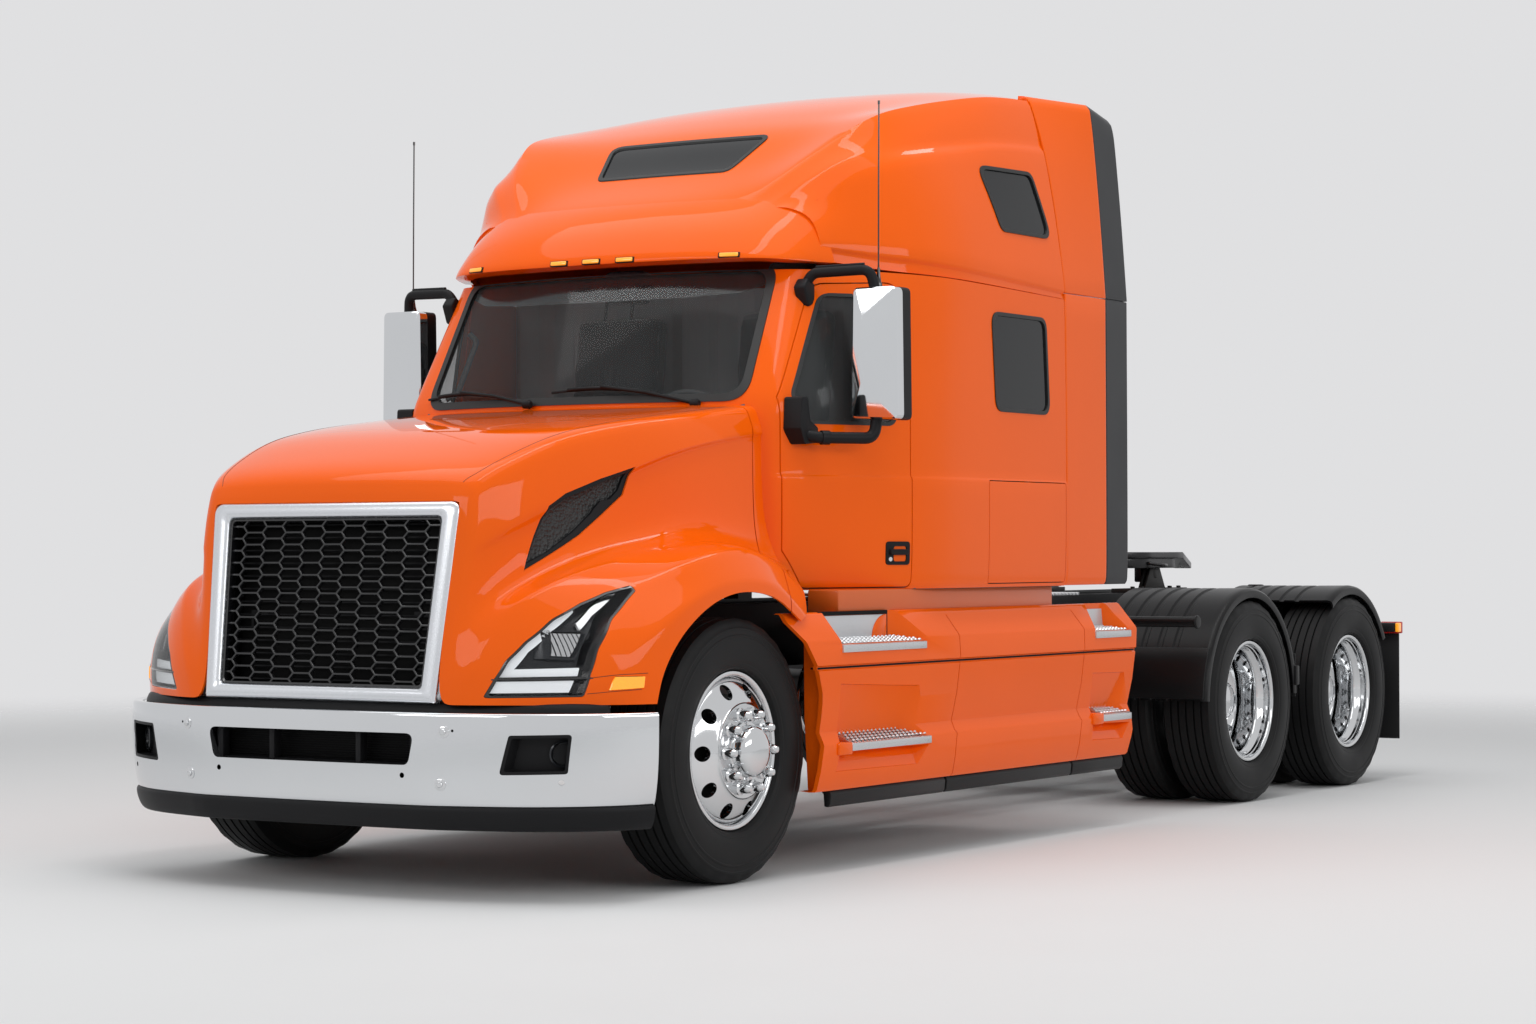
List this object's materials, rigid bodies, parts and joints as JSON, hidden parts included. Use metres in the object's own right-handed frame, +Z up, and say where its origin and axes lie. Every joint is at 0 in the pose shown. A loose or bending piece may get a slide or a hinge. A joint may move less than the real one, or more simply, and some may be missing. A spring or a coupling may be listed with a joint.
{
  "type": "semi truck tractor unit",
  "caption": "Long-nose sleeper-cab semi truck tractor unit with a tandem drive bogie, tilting hood, hinged doors, steering front wheels and a fifth wheel coupling.",
  "frame": {"origin": "on the ground under the middle of the overall length and width", "axes": "+X forward, +Y to the vehicle's left, +Z up"},
  "size_m": [7.747, 2.62, 3.365],
  "materials": {
    "orange_paint": "gloss orange paint",
    "black_frame_paint": "satin black chassis paint",
    "polished_metal": "polished",
    "bright_aluminium": "satin",
    "black_plastic": "matt moulded plastic",
    "gloss_black": "gloss black",
    "tyre": "black road tyre rubber",
    "flap_rubber": "matt rubber",
    "glass": "tinted glass",
    "lamp_lens": "clear lamp",
    "red_lens": "red lamp",
    "cast_steel": "cast and greased",
    "cloth": "dark cloth",
    "engine_paint": "painted casting"
  },
  "bodies": {
    "chassis": {"frame": "black_frame_paint", "front_springs": "cast_steel", "front_axle": "cast_steel", "drive_axles": "cast_steel", "rear_suspension": "black_frame_paint", "driveshafts": "black_frame_paint", "engine": "engine_paint", "radiator": "bright_aluminium", "fuel_tanks": "bright_aluminium", "cab_shell": "orange_paint", "cowl": "orange_paint", "windscreen": "glass", "sleeper_windows": "glass", "roof_fairing": "orange_paint", "roof_windows": "glass", "side_fairings": "orange_paint", "side_extenders": "black_plastic", "bumper": "polished_metal", "air_dam": "black_plastic", "fog_lamps": "gloss_black", "side_skirts": "orange_paint", "step_treads": "bright_aluminium", "skirt_trim": "flap_rubber", "drive_fenders": "black_plastic", "mudflaps": "flap_rubber", "tail_lamps": "red_lens", "fifth_wheel_base": "cast_steel", "deck_plate": "bright_aluminium", "seats": "cloth", "dashboard": "black_plastic", "steering_wheel": "black_plastic", "bunk": "cloth"},
    "hood": {"hood": "orange_paint", "grille_surround": "polished_metal", "grille_mesh": "black_plastic", "headlamps": "lamp_lens"},
    "coupling_plate": {"fifth_wheel_plate": "cast_steel"},
    "door_left_panel": {"door_left": "orange_paint", "door_glass_left": "glass", "mirror_left": "gloss_black"},
    "steering_knuckle_left": {"knuckle_left": "cast_steel"},
    "steer_wheel_left": {"steer_rim_left": "polished_metal", "steer_tyre_left": "tyre"},
    "front_drive_wheels_left": {"front_drive_rims_left": "polished_metal", "front_drive_tyres_left": "tyre"},
    "rear_drive_wheels_left": {"rear_drive_rims_left": "polished_metal", "rear_drive_tyres_left": "tyre"},
    "door_right_panel": {"door_right": "orange_paint", "door_glass_right": "glass", "mirror_right": "gloss_black"},
    "steering_knuckle_right": {"knuckle_right": "cast_steel"},
    "steer_wheel_right": {"steer_rim_right": "polished_metal", "steer_tyre_right": "tyre"},
    "front_drive_wheels_right": {"front_drive_rims_right": "polished_metal", "front_drive_tyres_right": "tyre"},
    "rear_drive_wheels_right": {"rear_drive_rims_right": "polished_metal", "rear_drive_tyres_right": "tyre"}
  },
  "joints": [
    {"name": "hood_tilt", "type": "hinge", "parent": "chassis", "child": "hood", "pos_m": [3.7335, 0, 0.728], "axis": [0, 1, 0], "range_deg": [0, 68]},
    {"name": "coupling_tilt", "type": "hinge", "parent": "chassis", "child": "coupling_plate", "pos_m": [-2.4785, 0, 1.128], "axis": [0, 1, 0], "range_deg": [-10, 15]},
    {"name": "door_left_swing", "type": "hinge", "parent": "chassis", "child": "door_left_panel", "pos_m": [2.1015, 0.932, 1.7], "axis": [0, 0, -1], "range_deg": [0, 62]},
    {"name": "steer_left", "type": "hinge", "parent": "chassis", "child": "steering_knuckle_left", "pos_m": [2.7615, 0.85, 0.5], "axis": [0, 0, 1], "range_deg": [-38, 38]},
    {"name": "steer_wheel_left_spin", "type": "hinge", "parent": "steering_knuckle_left", "child": "steer_wheel_left", "pos_m": [2.7615, 1.018, 0.5], "axis": [0, 1, 0], "continuous": true},
    {"name": "front_drive_left_spin", "type": "hinge", "parent": "chassis", "child": "front_drive_wheels_left", "pos_m": [-1.8835, 0.907, 0.5], "axis": [0, 1, 0], "continuous": true},
    {"name": "rear_drive_left_spin", "type": "hinge", "parent": "chassis", "child": "rear_drive_wheels_left", "pos_m": [-3.1835, 0.907, 0.5], "axis": [0, 1, 0], "continuous": true},
    {"name": "door_right_swing", "type": "hinge", "parent": "chassis", "child": "door_right_panel", "pos_m": [2.1015, -0.932, 1.7], "axis": [0, 0, 1], "range_deg": [0, 62]},
    {"name": "steer_right", "type": "hinge", "parent": "chassis", "child": "steering_knuckle_right", "pos_m": [2.7615, -0.85, 0.5], "axis": [0, 0, 1], "range_deg": [-38, 38]},
    {"name": "steer_wheel_right_spin", "type": "hinge", "parent": "steering_knuckle_right", "child": "steer_wheel_right", "pos_m": [2.7615, -1.018, 0.5], "axis": [0, 1, 0], "continuous": true},
    {"name": "front_drive_right_spin", "type": "hinge", "parent": "chassis", "child": "front_drive_wheels_right", "pos_m": [-1.8835, -0.907, 0.5], "axis": [0, 1, 0], "continuous": true},
    {"name": "rear_drive_right_spin", "type": "hinge", "parent": "chassis", "child": "rear_drive_wheels_right", "pos_m": [-3.1835, -0.907, 0.5], "axis": [0, 1, 0], "continuous": true}
  ],
  "couplings": [
    {"joint": "steer_right", "follows": "steer_left", "ratio": 1}
  ]
}
